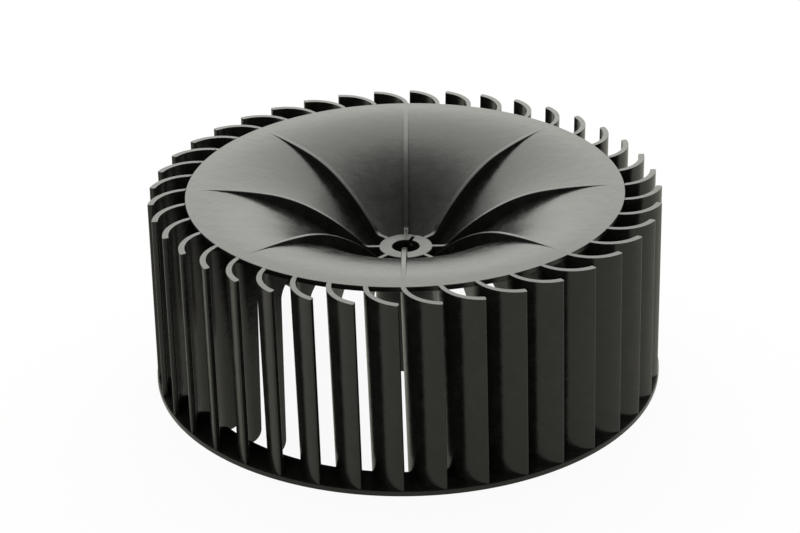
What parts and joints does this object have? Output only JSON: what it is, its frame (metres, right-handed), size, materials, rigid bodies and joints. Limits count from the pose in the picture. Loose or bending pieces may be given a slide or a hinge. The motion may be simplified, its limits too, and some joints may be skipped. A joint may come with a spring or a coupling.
{
  "type": "dryer fan wheel",
  "caption": "Blower wheel of a tumble dryer: a dished, ribbed plate on a long shaft hub, with a row of forward-curved blades and a foot ring, moulded in one piece.",
  "frame": {"origin": "centre of the foot ring's underside, on the wheel's axis", "axes": "+Z along the axis from the open eye to the plate, +X and +Y each along a rib of the dish"},
  "size_m": [0.19, 0.19, 0.073],
  "materials": {
    "black_plastic": "satin, as moulded"
  },
  "bodies": {
    "root": {"fan_wheel": "black_plastic"}
  },
  "joints": []
}
